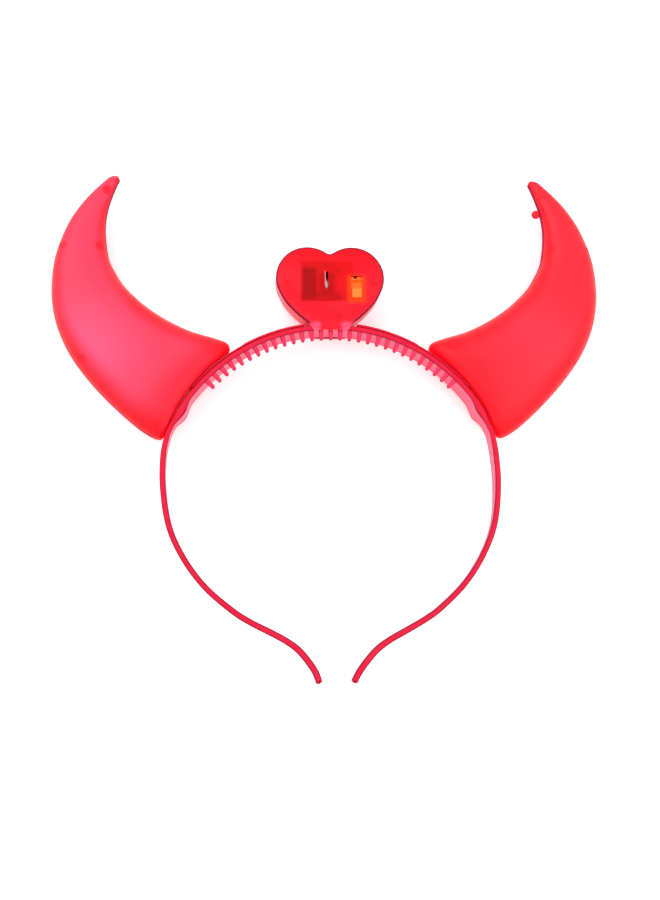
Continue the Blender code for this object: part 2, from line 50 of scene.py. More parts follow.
hoop = {
    "outerRadius": 71.5,
    "halfThickness": 1.0,
    "edgeRound": 0.45,
    "shoulderStart": 58.5,  # degrees from the crown where the band starts to narrow
    "shoulderEnd": 64.0,
    "shoulderHalfWidth": 4.5,
    "arcEnd": 67.0,
    "arcLean": -0.3,
    "arcStep": 1.0,
    "padStart": 53.5,  # a low swelling on the inner side of each shoulder
    "padEnd": 64.0,
    "padThickness": 1.2,
    "stepsPerRow": 8,
    "tipSteps": 7,
    "smoothAngle": 50.0,
    "innerFace": 0.9,  # share of the half thickness past which a point is on the inner face
    "edgeLimit": 0.9,  # largest rounding, as a share of the half thickness
    "innerThin": 0.95,  # how much light shows through: inner face, all the rest and the ends
    "otherThin": 0.12,
    "endThin": 0.1,
    "endRim": 0.7,
    "columns": ("x", "y", "lean", "halfThickness", "halfWidth", "edge"),
    "legRows": (  # from the arc's end to the tip, drawn for the right leg; lean moves both right
        (66.4, 19.0, -0.5, 1.10, 4.3, 0.55),
        (66.7, 6.0, -0.3, 1.15, 3.8, 0.7),
        (64.6, -9.0, 0.0, 1.20, 2.7, 0.9),
        (59.2, -21.5, 0.3, 1.20, 2.1, 0.95),
        (51.2, -32.7, 0.6, 1.20, 1.9, 0.95),
        (41.0, -42.0, 1.0, 1.25, 1.8, 1.0),
        (34.1, -46.6, 1.2, 1.25, 1.8, 1.0),
        (26.6, -50.6, 1.4, 1.30, 1.8, 1.0),
        (19.9, -54.3, 1.2, 1.30, 1.8, 1.0),
        (14.6, -58.4, 0.9, 1.35, 1.8, 1.0),
        (9.1, -65.3, 0.5, 1.35, 1.8, 1.0),
        (6.6, -70.5, 0.0, 1.30, 1.8, 1.0),
    ),
}

bandLow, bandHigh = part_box("headband")
bandHalfWidth = (bandHigh.z - bandLow.z) / 2 / mm
centreY = bandHigh.y / mm - hoop["outerRadius"]
centreZ = (bandLow.z + bandHigh.z) / 2 / mm


def toWorld(x, y, z):
    return Vector((x, y + centreY, z + centreZ)) * mm


def smoothRow(rows, place):  # a row between the rows, on a smooth curve through them
    last = len(rows) - 1
    start = min(int(place), last - 1)
    t = place - start
    before, after = rows[max(start - 1, 0)], rows[min(start + 2, last)]
    values = []
    for a, b, c, d in zip(before, rows[start], rows[start + 1], after):
        slopeB, slopeC = (c - a) / 2, (d - b) / 2
        values.append((2 * t ** 3 - 3 * t ** 2 + 1) * b + (t ** 3 - 2 * t ** 2 + t) * slopeB
                      + (3 * t ** 2 - 2 * t ** 3) * c + (t ** 3 - t ** 2) * slopeC)
    return values


def ease(value, low, high):  # 0 below low, 1 above high, smooth between them
    t = min(max((value - low) / (high - low), 0.0), 1.0)
    return t * t * (3 - 2 * t)


# Materials

class Signal:  # a shader socket that takes part in sums
    def __init__(self, finish, socket):
        self.finish = finish
        self.socket = socket

    def calc(self, operation, *others):
        values = {index: value for index, value in enumerate((self,) + others)}
        node = self.finish.add("ShaderNodeMath", {"operation": operation}, values)
        return Signal(self.finish, node.outputs[0])

    def __add__(self, other):
        return self.calc("ADD", other)

    def __sub__(self, other):
        return self.calc("SUBTRACT", other)

    def __mul__(self, other):
        return self.calc("MULTIPLY", other)

    def __pow__(self, other):
        return self.calc("POWER", other)

    def __rsub__(self, other):
        return self.calc("MULTIPLY", -1.0).calc("ADD", other)

    __radd__ = __add__

    def atLeast(self, other):
        return self.calc("MAXIMUM", other)


class Finish:  # one material and the nodes it is made of
    def __init__(self, name):
        self.material = bpy.data.materials.new(name)
        self.material.use_nodes = True
        self.tree = self.material.node_tree
        self.tree.nodes.clear()

    def add(self, kind, settings=None, sockets=None):
        node = self.tree.nodes.new(kind)
        for key, value in (settings or {}).items():
            setattr(node, key, value)
        for key, value in (sockets or {}).items():
            if isinstance(value, Signal):
                self.tree.links.new(value.socket, node.inputs[key])
            else:
                node.inputs[key].default_value = value
        return node

    def signal(self, kind, output, settings=None, sockets=None):
        return Signal(self, self.add(kind, settings, sockets).outputs[output])

    def blend(self, factor, first, second):  # mix of two colours
        first = first if isinstance(first, Signal) else (*first, 1.0)
        second = second if isinstance(second, Signal) else (*second, 1.0)
        return self.signal("ShaderNodeMix", 2, {"data_type": "RGBA", "clamp_factor": True},
                           {0: factor, 6: first, 7: second})

    def steps(self, value, low, high):  # 0 below low, 1 above high, smooth between them
        return self.signal("ShaderNodeMapRange", 0, {"interpolation_type": "SMOOTHSTEP"},
                           {"Value": value, "From Min": low, "From Max": high})

    def between(self, value, start, end):  # rises over the span start, falls over the span end
        return self.steps(value, *start) * (1.0 - self.steps(value, *end))

    def noise(self, scale, detail=2.0, place=None):
        place = place or self.signal("ShaderNodeTexCoord", "Object")
        return self.signal("ShaderNodeTexNoise", 0, None,
                           {"Vector": place, "Scale": scale, "Detail": detail})

    def mark(self, name):  # a value kept in the mesh
        return self.signal("ShaderNodeAttribute", "Fac", {"attribute_name": name})

    def place(self):  # x, y and z in drawing millimetres
        parts = self.add("ShaderNodeSeparateXYZ", None,
                         {0: self.signal("ShaderNodeTexCoord", "Object")})
        x, y, z = [Signal(self, output) * 1000.0 for output in parts.outputs]
        return x, y - centreY, z - centreZ

    def spots(self, places, radius, soft):  # 1 at each place, seen along z
        x, y = self.place()[:2]
        total = 0.0
        for spotX, spotY in places:
            across, along = x - spotX, y - spotY
            distance = (across * across + along * along) ** 0.5
            spot = 1.0 - self.steps(distance, radius - soft, radius + soft)
            total = spot.atLeast(total)
        return total

    def patch(self, lowX, highX, lowY, highY, soft):  # 1 inside a soft rectangle, seen along z
        x, y = self.place()[:2]
        across = self.between(x, (lowX - soft, lowX + soft), (highX - soft, highX + soft))
        along = self.between(y, (lowY - soft, lowY + soft), (highY - soft, highY + soft))
        return across * along

    def bump(self, height, strength, distance):
        return self.signal("ShaderNodeBump", 0, None,
                           {"Height": height, "Strength": strength, "Distance": distance})

    def close(self, sockets, rim=None, rimColour=None):  # the surface, with a dull dark rim of painted shade along the edges
        shader = self.add("ShaderNodeBsdfPrincipled", None, sockets)
        output = self.add("ShaderNodeOutputMaterial")
        if rim:
            dull = self.add("ShaderNodeBsdfPrincipled", None, {
                "Base Color": (*rimColour, 1.0), "Roughness": 0.6, "Specular IOR Level": 0.05})
            both = self.add("ShaderNodeMixShader", None, {0: rim})
            self.tree.links.new(shader.outputs[0], both.inputs[1])
            self.tree.links.new(dull.outputs[0], both.inputs[2])
            shader = both
        self.tree.links.new(shader.outputs[0], output.inputs["Surface"])
        return self.material

    def clearPlastic(self, look, colour, cloud, fine, relief, rim):  # translucent moulded plastic
        spread = (fine - 0.5) * look["fineGloss"] + (cloud - 0.5) * look["cloudGloss"]
        return self.close({
            "Base Color": colour,
            "Roughness": look["roughness"] + spread,
            "Normal": self.bump(relief, *look["bump"]),
            "IOR": 1.45,
            "Specular IOR Level": look["specular"],
            "Transmission Weight": look["transmission"],
            # painted light: the plastic glows a little in its own colour, though it is no lamp
            "Emission Color": colour,
            "Emission Strength": look["glow"],
        }, rim * look["rimStrength"], look["rim"])


hornLook = {
    "cloudScale": 30.0,
    "fineScale": 900.0,
    "core": {-1: (1.0, 0.044, 0.095), 1: (1.0, 0.020, 0.036)},  # by side: the left horn is painted pinker, standing in for more light falling on it
    "coreSpan": (0.04, 0.50),
    "coreCloud": 0.25,
    "baseSpan": (0.0, 16.0),  # millimetres from the base
    "baseCloud": 4.0,
    "baseCore": 0.2,  # how much of the core's colour the base keeps
    # painted light: a lighter patch on each horn, pinker on the left one
    "paintedLightPatch": {-1: (1.0, 0.082, 0.175), 1: (1.0, 0.030, 0.056)},
    "paintedLightSpot": {-1: (-98.0, 58.0, 34.0), 1: (84.0, 66.0, 24.0)},  # x, y and radius
    "edge": (0.98, 0.005, 0.014),  # painted shade where the wall is seen edge on, and towards the base and the tip
    # painted shade: a dark line along the outline and at the base, partly the darker glued seam
    "rim": (0.24, 0.010, 0.045),
    "rimSpan": (0.05, 0.50),  # millimetres from the seam's outline
    "rimStrength": 0.9,
    # painted shade of the pins behind the wall
    "spot": (0.80, 0.004, 0.014),
    "spotSize": (1.5, 1.2),
    "spotStrength": 0.8,
    "roughness": 0.36,
    "fineGloss": 0.10,
    "cloudGloss": 0.10,
    "bump": (0.06, 0.0002),
    "specular": 0.15,
    "transmission": 0.07,
    "glow": 0.10,
}


def hornPlastic(name, side, look=hornLook):
    finish = Finish(name)
    cloud = finish.noise(look["cloudScale"])
    fine = finish.noise(look["fineScale"], 3.0)
    # painted light and shade: each shell lighter in its middle, as if lit through, and darker at
    # its edges, base and tip
    core = finish.steps(finish.mark("core") + (cloud - 0.5) * look["coreCloud"], *look["coreSpan"])
    base = finish.steps(finish.mark("base") + (cloud - 0.5) * look["baseCloud"], *look["baseSpan"])
    # painted light: the lighter patch on the horn
    spotX, spotY, reach = look["paintedLightSpot"][side]
    paintedLightPatch = finish.spots([(spotX, spotY)], reach * 0.5, reach * 0.5)
    colour = finish.blend(paintedLightPatch, look["core"][side], look["paintedLightPatch"][side])
    inner = core * (base * (1.0 - look["baseCore"]) + look["baseCore"])
    colour = finish.blend(inner, look["edge"], colour)
    # painted shade of the pins behind the wall
    spots = finish.spots([(x * side, y) for x, y in horn["pins"]], *look["spotSize"])
    colour = finish.blend(spots * look["spotStrength"], colour, look["spot"])
    # painted shade: the dark line along the outline and the base, partly the darker seam
    rim = 1.0 - finish.steps(finish.mark("rim"), *look["rimSpan"])
    return finish.clearPlastic(look, colour, cloud, fine, fine, rim)


bandLook = {
    "cloudScale": 120.0,
    "fineScale": 1500.0,
    "body": (0.80, 0.006, 0.026),
    # painted light: paler where light shows through the plastic
    "thin": (0.82, 0.045, 0.130),
    "thinCloud": 0.25,
    # painted shade: dark along the edges
    "rim": (0.14, 0.008, 0.040),
    "rimStrength": 0.75,
    "roughness": 0.32,
    "fineGloss": 0.08,
    "cloudGloss": 0.12,
    "bump": (0.15, 0.0003),
    "specular": 0.08,
    "transmission": 0.06,
    "glow": 0.08,
}


def bandPlastic(name, look=bandLook):
    finish = Finish(name)
    cloud = finish.noise(look["cloudScale"])
    fine = finish.noise(look["fineScale"])
    # painted light: paler where light shows through the plastic
    thin = finish.mark("thin") + (cloud - 0.5) * look["thinCloud"]
    colour = finish.blend(thin, look["body"], look["thin"])
    # painted shade along the edges, from the rim mark
    return finish.clearPlastic(look, colour, cloud, fine, cloud, finish.mark("rim"))


heartLook = {
    "cloudScale": 90.0,
    "fineScale": 1200.0,
    "body": (0.93, 0.008, 0.020),
    "bright": (0.97, 0.014, 0.030),
    "brightSpan": (0.35, 0.7),
    "top": (0.80, 0.005, 0.014),
    "topSpan": (88.0, 102.0),  # along y
    # painted shade: the side wall darker than the front
    "side": (0.84, 0.012, 0.034),
    "sideSpan": (6.3, 6.9),  # along z, where the side wall ends
    "pale": (0.95, 0.24, 0.34),  # the back half's wall, seen through, painted paler as light showing through it
    "paleSpans": ((-5.5, -4.0), (0.0, 0.7)),
    "paleStrength": 0.9,
    # painted shade: the back face darker, a grey line along the back edge
    "line": (0.40, 0.14, 0.22),
    "lineSpan": (-6.8, -6.2),
    "lineStrength": 0.7,
    # painted shade: a dark outline along the front face's edge
    "rim": (0.13, 0.006, 0.035),
    "rimSpans": ((6.9, 7.3), (8.28, 8.38)),
    "rimStrength": 0.85,
    # painted shade of the pins behind the wall
    "spot": (0.72, 0.002, 0.006),
    "spotSize": (1.3, 0.8),
    "spotStrength": 0.7,
    "foot": (0.98, 0.085, 0.17),
    "footSpan": (70.8, 73.0),  # along y
    "footCloud": 2.0,
    "footCorners": (9.0, 30.0),  # squared distance from the middle
    # a paler cut edge along the slot, partly a painted highlight
    "slotRim": (0.95, 0.22, 0.30),
    "slotRimReach": (0.35, 0.1, 1.0, 0.18),  # before the slot, over it, from its low end, soft
    "slotRimStrength": 0.9,
    "patches": (  # painted shade of what lies behind the front, and a painted orange glow: box, softness, strength and colour
        ((-12.0, 9.2, 80.6, 97.4), 0.8, 0.85, (0.56, 0.002, 0.004)),
        ((2.6, 9.5, 83.6, 97.6), 1.0, 0.45, (0.74, 0.004, 0.006)),
        ((-11.4, -5.6, 81.6, 94.6), 1.1, 0.85, (0.30, 0.001, 0.002)),
        ((-12.0, 3.5, 80.6, 84.6), 0.8, 0.50, (0.40, 0.001, 0.002)),
        ((-4.6, 1.4, 83.0, 92.5), 1.0, 0.60, (0.36, 0.001, 0.002)),
        # painted light: an orange glow round the switch window
        ((7.0, 14.2, 80.2, 91.4), 1.3, 0.90, (0.92, 0.052, 0.002)),
    ),
    # painted shade: blotchy darkening over the cells behind the front
    "paintedShadeMottle": (0.30, 0.001, 0.002),
    "mottleScale": 420.0,
    "mottleSpan": (0.50, 0.72),
    "mottleBox": (-11.5, 4.5, 81.0, 95.5, 1.0),  # box and softness
    "mottleStrength": 0.5,
    "cutouts": (-4.0, 14.5, 79.5, 94.5, 1.0),  # the slot and window, which have no dark rim
    "roughness": 0.26,
    "fineGloss": 0.06,
    "cloudGloss": 0.10,
    "bump": (0.05, 0.0002),
    "specular": 0.1,
    "transmission": 0.06,
    "glow": 0.08,
}


def heartPlastic(name, look=heartLook):
    finish = Finish(name)
    cloud = finish.noise(look["cloudScale"])
    fine = finish.noise(look["fineScale"])
    x, y, z = finish.place()
    colour = finish.blend(finish.steps(cloud, *look["brightSpan"]), look["body"], look["bright"])
    colour = finish.blend(finish.steps(y, *look["topSpan"]), colour, look["top"])
    # painted shade of the holder and cells behind the front, and a painted orange glow round the
    # window
    for box, soft, strength, shade in look["patches"]:
        colour = finish.blend(finish.patch(*box, soft) * strength, colour, shade)
    # painted shade: blotchy darkening over the cells behind the front
    paintedShadeMottle = finish.steps(finish.noise(look["mottleScale"]), *look["mottleSpan"])
    paintedShadeMottle = paintedShadeMottle * finish.patch(*look["mottleBox"])
    colour = finish.blend(paintedShadeMottle * look["mottleStrength"], colour, look["paintedShadeMottle"])
    # painted shade of the pins behind the wall
    spots = finish.spots(heart["pins"], *look["spotSize"])
    colour = finish.blend(spots * look["spotStrength"], colour, look["spot"])
    # a paler cut edge along the slot, partly a painted highlight
    slot = heart["tabSlot"]
    before, over, start, soft = look["slotRimReach"]
    lip = finish.patch(slot[0] - before, slot[0] + over, slot[2] + start, slot[3] + over, soft)
    colour = finish.blend(lip * look["slotRimStrength"], colour, look["slotRim"])
    # painted shade: the side wall darker than the front
    wall = 1.0 - finish.steps(z, *look["sideSpan"])
    colour = finish.blend(wall, colour, look["side"])
    # painted light: a paler band on the back half's wall
    back = finish.between(z, *look["paleSpans"])
    colour = finish.blend(back * look["paleStrength"], colour, look["pale"])
    # painted shade: the back face darker, a grey line along the back edge
    behind = 1.0 - finish.steps(z, *look["lineSpan"])
    colour = finish.blend(behind * look["lineStrength"], colour, look["line"])
    foot = 1.0 - finish.steps(y + (cloud - 0.5) * look["footCloud"], *look["footSpan"])
    colour = finish.blend(foot * finish.steps(x * x, *look["footCorners"]), colour, look["foot"])
    # painted shade: the dark outline along the front face's edge
    rim = finish.between(z, *look["rimSpans"]) * (1.0 - foot)
    rim = rim * (1.0 - finish.patch(*look["cutouts"]))
    return finish.clearPlastic(look, colour, cloud, fine, fine, rim)


mattLook = {
    "coarse": 0.2,  # of the scale given for a piece
    "fine": 4.0,
    "roughnessSpread": 0.2,
    "bump": (0.1, 0.0001),
    # painted shade: the black of a deep hole
    "hole": (0.01, 0.002, 0.001),
    "holeSoft": 0.15,
}


def mattPlastic(name, light, dark, roughness, scale=400.0, glow=0.0, hole=None):  # moulded plastic
    look = mattLook
    finish = Finish(name)
    cloud = finish.noise(scale * look["coarse"])
    fine = finish.noise(scale * look["fine"])
    colour = finish.blend(cloud, dark, light)
    if hole:  # painted shade: a deep hole is painted black
        colour = finish.blend(finish.patch(*hole, look["holeSoft"]), colour, look["hole"])
    return finish.close({
        "Base Color": colour,
        "Roughness": roughness + (fine - 0.5) * look["roughnessSpread"],
        "Normal": finish.bump(fine, *look["bump"]),
        "Specular IOR Level": 0.3,
        "Emission Color": colour,
        "Emission Strength": glow,
    })


nickelLook = {
    "stretch": (1.0, 14.0, 14.0),
    "grainScale": 160.0,
    "grainDetail": 4.0,
    "dark": (0.58, 0.57, 0.55),
    "light": (0.78, 0.78, 0.77),
    "roughness": 0.24,
    "grainGloss": 0.16,
    "bump": (0.10, 0.0001),
}


def nickel(name, look=nickelLook):  # rubbed steel can of a cell
    finish = Finish(name)
    place = finish.signal("ShaderNodeTexCoord", "Object")
    streaks = finish.signal("ShaderNodeMapping", 0, None,
                            {"Vector": place, "Scale": look["stretch"]})
    grain = finish.noise(look["grainScale"], look["grainDetail"], streaks)
    return finish.close({
        "Base Color": finish.blend(grain, look["dark"], look["light"]),
        "Roughness": look["roughness"] + grain * look["grainGloss"],
        "Normal": finish.bump(grain, *look["bump"]),
        "Metallic": 1.0,
    })


# Mesh helpers

def newObject(name, data):
    item = bpy.data.objects.new(name, data)
    bpy.context.scene.collection.objects.link(item)
    return item


def smoothed(mesh, angle):  # smooth but for edges sharper than the angle, in degrees
    mesh.shade_smooth()
    mesh.set_sharp_from_angle(angle=math.radians(angle))


def joinRings(form, rings):  # the faces of a closed column of equal rings
    made = [form.faces.new(rings[0]), form.faces.new(rings[-1])]
    for low, high in zip(rings, rings[1:]):
        for index in range(len(low)):
            after = (index + 1) % len(low)
            made.append(form.faces.new((low[index], low[after], high[after], high[index])))
    return made


class Shape:  # points and faces of one piece, in drawing units
    def __init__(self):
        self.points = []
        self.faces = []
        self.marks = {}

    def add(self, points, faces, **marks):
        first = len(self.points)
        self.points.extend(points)
        self.faces.extend([tuple(first + index for index in face) for face in faces])
        for key, values in marks.items():
            column = self.marks.setdefault(key, {})
            for index, value in enumerate(values):
                column[first + index] = value

    def grid(self, rows, closed=False, **marks):  # rows of equal length
        count = len(rows[0])
        faces = []
        for r in range(len(rows) - 1):
            for c in range(count if closed else count - 1):
                near, far, after = r * count, (r + 1) * count, (c + 1) % count
                faces.append((near + c, near + after, far + after, far + c))
        flat = {key: [value for row in values for value in row] for key, values in marks.items()}
        self.add([point for row in rows for point in row], faces, **flat)

    def capped(self, rows, **marks):  # closed rings with a flat face over the first and the last
        self.grid(rows, closed=True, **{key: values for key, (values, end) in marks.items()})
        count = len(rows[0])
        ends = {key: [end] * count for key, (values, end) in marks.items()}
        for ring in (rows[0], rows[-1]):
            self.add(ring, [tuple(range(count))], **ends)

    def finished(self, name, material, smoothAngle=40.0, fillRims=False):
        mesh = bpy.data.meshes.new(name)
        form = bmesh.new()
        layers = {key: form.verts.layers.float.new(key) for key in self.marks}
        verts = [form.verts.new(toWorld(*point)) for point in self.points]
        for key, values in self.marks.items():
            for index, value in values.items():
                verts[index][layers[key]] = value
        for face in self.faces:
            if len(set(face)) > 2:
                form.faces.new([verts[index] for index in face])
        bmesh.ops.remove_doubles(form, verts=form.verts, dist=2e-6)
        bmesh.ops.dissolve_degenerate(form, edges=form.edges, dist=1e-6)
        if fillRims:
            rims = [edge for edge in form.edges if edge.is_boundary]
            bmesh.ops.triangle_fill(form, edges=rims, use_beauty=True)
        bmesh.ops.recalc_face_normals(form, faces=form.faces)
        form.to_mesh(mesh)
        form.free()
        smoothed(mesh, smoothAngle)
        mesh.materials.append(material)
        return newObject(name, mesh)


def cutPiece(piece, tool, operation="DIFFERENCE"):  # Boolean whose tool is used up
    modifier = piece.modifiers.new("cut", "BOOLEAN")
    modifier.operation = operation
    modifier.solver = "EXACT"
    modifier.object = tool
    applied(piece)
    bpy.data.objects.remove(tool, do_unlink=True)


def applied(piece):  # the piece's modifiers become its mesh
    graph = bpy.context.evaluated_depsgraph_get()
    graph.update()
    mesh = bpy.data.meshes.new_from_object(piece.evaluated_get(graph))
    mesh.name = piece.name
    old = piece.data
    piece.modifiers.clear()
    piece.data = mesh
    bpy.data.meshes.remove(old)


def kept(piece, slot, *nodes, body="headpiece"):
    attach(piece, body)
    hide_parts(*nodes)


# Hoop

def hoopStations():  # sections from the crown to the right tip
    stations = []
    middle = hoop["outerRadius"] - hoop["halfThickness"]
    count = int(round(hoop["arcEnd"] / hoop["arcStep"]))
    for index in range(count + 1):
        angle = index * hoop["arcStep"]
        narrow = ease(angle, hoop["shoulderStart"], hoop["shoulderEnd"])
        width = bandHalfWidth + (hoop["shoulderHalfWidth"] - bandHalfWidth) * narrow
        turn = math.radians(angle)
        stations.append((middle * math.sin(turn), middle * math.cos(turn), hoop["arcLean"] * narrow,
                         hoop["halfThickness"], width, hoop["edgeRound"]))
    legs = (stations[-1],) + hoop["legRows"]
    for step in range(1, (len(legs) - 1) * hoop["stepsPerRow"] + 1):
        stations.append(smoothRow(legs, step / hoop["stepsPerRow"]))
    found = [dict(zip(hoop["columns"], station)) for station in stations]
    for index, station in enumerate(found):
        share = (index * hoop["arcStep"] - hoop["padStart"]) / (hoop["padEnd"] - hoop["padStart"])
        station["pad"] = hoop["padThickness"] * math.sin(math.pi * min(max(share, 0.0), 1.0)) ** 2
    return found


section = {
    "arcSteps": 4,
    "flatShares": (0.08, 0.25, 0.5, 0.75, 0.92),
    "arcRim": (0.5, 1.0),  # share of a corner over which the painted dark edge shade fades
    "sideRim": (0.2, 0.7),  # and millimetres of an edge face
    "corners": ((1, 1, 0), (-1, 1, 90), (-1, -1, 180), (1, -1, 270)),
}


def roundedSection(halfThick, halfWidth, radius):  # (outward, z, how near a long edge)
    steps, corners = section["arcSteps"], section["corners"]
    points = []
    for number, (signOut, signZ, first) in enumerate(corners):
        sideFirst = number % 2 == 0  # this corner starts on the inner or outer side
        for step in range(steps + 1):
            turn = math.radians(first + 90 * step / steps)
            share = step / steps if sideFirst else 1 - step / steps
            points.append((signOut * (halfThick - radius) + radius * math.cos(turn),
                           signZ * (halfWidth - radius) + radius * math.sin(turn),
                           1.0 - ease(share, *section["arcRim"])))
        nextOut, nextZ, nextFirst = corners[(number + 1) % 4]
        startOut, startZ = points[-1][:2]
        turn = math.radians(nextFirst)
        endOut = nextOut * (halfThick - radius) + radius * math.cos(turn)
        endZ = nextZ * (halfWidth - radius) + radius * math.sin(turn)
        for share in section["flatShares"]:
            gap = min(share, 1 - share) * (halfWidth - radius) * 2
            near = 0.0 if sideFirst else 1.0 - ease(gap, *section["sideRim"])
            points.append((startOut + (endOut - startOut) * share,
                           startZ + (endZ - startZ) * share, near))
    return points


def makeHoop():
    half = hoopStations()
    placed = []
    for side, stations in ((-1, half[:0:-1]), (1, half)):
        for station in stations:
            placed.append((Vector((station["x"] * side + station["lean"], station["y"])), station))
    last = len(placed) - 1
    rows, thin, rim = [], [], []
    for index, (point, station) in enumerate(placed):
        along = (placed[min(index + 1, last)][0] - placed[max(index - 1, 0)][0]).normalized()
        out = Vector((-along.y, along.x))
        turns = [0.0]
        if index in (0, last):  # the tips are domes
            turns = [math.pi / 2 * step / hoop["tipSteps"] for step in range(hoop["tipSteps"])]
        if index == 0:
            turns.reverse()
        for turn in turns:
            thick = station["halfThickness"] * math.cos(turn)
            width = station["halfWidth"] - station["halfThickness"] * (1.0 - math.cos(turn))
            middle = point
            if index in (0, last):
                reach = station["halfThickness"] * (math.sin(turn) - 1.0)
                middle = point + along * (reach if index else -reach)
            pad = station["pad"] / station["halfThickness"]
            row, thinRow, rimRow = [], [], []
            radius = min(station["edge"], thick * hoop["edgeLimit"])
            for a, z, near in roundedSection(thick, width, radius):
                inside = a < -hoop["innerFace"] * thick
                thinRow.append(hoop["innerThin" if inside else "otherThin"])
                rimRow.append(near)
                a += min(a, 0.0) * pad
                row.append((middle.x + out.x * a, middle.y + out.y * a, z))
            rows.append(row)
            thin.append(thinRow)
            rim.append(rimRow)
    shape = Shape()
    shape.capped(rows, thin=(thin, hoop["endThin"]), rim=(rim, hoop["endRim"]))
    return shape.finished("hoopBand", bandPlastic("bandPlastic"), hoop["smoothAngle"])


comb = {
    "count": 29,
    "lastAngle": 45.7,  # degrees from the crown to the end teeth
    "rootRadius": 69.9,
    "tipRadius": 65.4,
    "rootHalf": 0.95,
    "tipHalf": 0.75,
    "backZ": 4.0,
    "frontZ": 5.9,
    "edgeRound": 0.25,
    "tipSteps": 8,
    # painted light and shade: paler where light shows through, darker on the teeth's sides
    "thin": 0.75,
    "rim": 0.6,
}


def makeTooth():  # one tine, drawn with its root at the origin, pointing along -y
    length = comb["rootRadius"] - comb["tipRadius"]
    outline = [(comb["rootHalf"], 0.0)]
    for step in range(comb["tipSteps"] + 1):
        turn = math.pi * step / comb["tipSteps"]
        outline.append((comb["tipHalf"] * math.cos(turn),
                        -length + comb["tipHalf"] * (1.0 - math.sin(turn))))
    outline.append((-comb["rootHalf"], 0.0))
    middle = (comb["frontZ"] + comb["backZ"]) / 2
    half = (comb["frontZ"] - comb["backZ"]) / 2
    mesh = bpy.data.meshes.new("tooth")
    form = bmesh.new()
    thin = form.verts.layers.float.new("thin")
    rim = form.verts.layers.float.new("rim")
    rings = []
    for z, inset in ((-half, comb["edgeRound"]), (-half + comb["edgeRound"], 0.0),
                     (half - comb["edgeRound"], 0.0), (half, comb["edgeRound"])):
        ring = []
        for x, y in outline:
            shrink = 1.0 - inset / comb["tipHalf"]
            rise = inset if y < 0.0 else 0.0
            vert = form.verts.new(Vector((x * shrink, y + rise, z + middle)) * mm)
            vert[thin] = comb["thin"]
            vert[rim] = 0.0 if inset else comb["rim"]
            ring.append(vert)
        rings.append(ring)
    bmesh.ops.recalc_face_normals(form, faces=joinRings(form, rings))
    form.to_mesh(mesh)
    form.free()
    return newObject("toothPattern", mesh)


class Flow:  # a geometry node tree with named inputs
    def __init__(self, name):
        self.tree = bpy.data.node_groups.new(name, "GeometryNodeTree")
        for way in ("INPUT", "OUTPUT"):
            self.tree.interface.new_socket("Geometry", in_out=way, socket_type="NodeSocketGeometry")
        self.inner = self.tree.nodes.new("NodeGroupInput")
        self.outer = self.tree.nodes.new("NodeGroupOutput")
        self.given = {}

    def input(self, name, kind, value):
        item = self.tree.interface.new_socket(name, in_out="INPUT", socket_type=kind)
        self.given[item.identifier] = value
        return self.inner.outputs[name]

    def add(self, kind, settings=None, sockets=None):
        node = self.tree.nodes.new(kind)
        for key, value in (settings or {}).items():
            setattr(node, key, value)
        for key, value in (sockets or {}).items():
            if isinstance(value, bpy.types.NodeSocket):
                self.tree.links.new(value, node.inputs[key])
            else:
                node.inputs[key].default_value = value
        return node

    def calc(self, operation, *values):
        node = self.add("ShaderNodeMath", {"operation": operation}, dict(enumerate(values)))
        return node.outputs[0]

    def piece(self, name, result, material, smoothAngle):  # the tree's result as a plain mesh
        realized = self.add("GeometryNodeRealizeInstances", None, {0: result})
        painted = self.add("GeometryNodeSetMaterial", None, {0: realized.outputs[0]})
        painted.inputs["Material"].default_value = material
        self.tree.links.new(painted.outputs[0], self.outer.inputs[0])
        piece = newObject(name, bpy.data.meshes.new(name))
        modifier = piece.modifiers.new("flow", "NODES")
        modifier.node_group = self.tree
        for identifier, value in self.given.items():
            modifier[identifier] = value
        applied(piece)
        smoothed(piece.data, smoothAngle)
        return piece


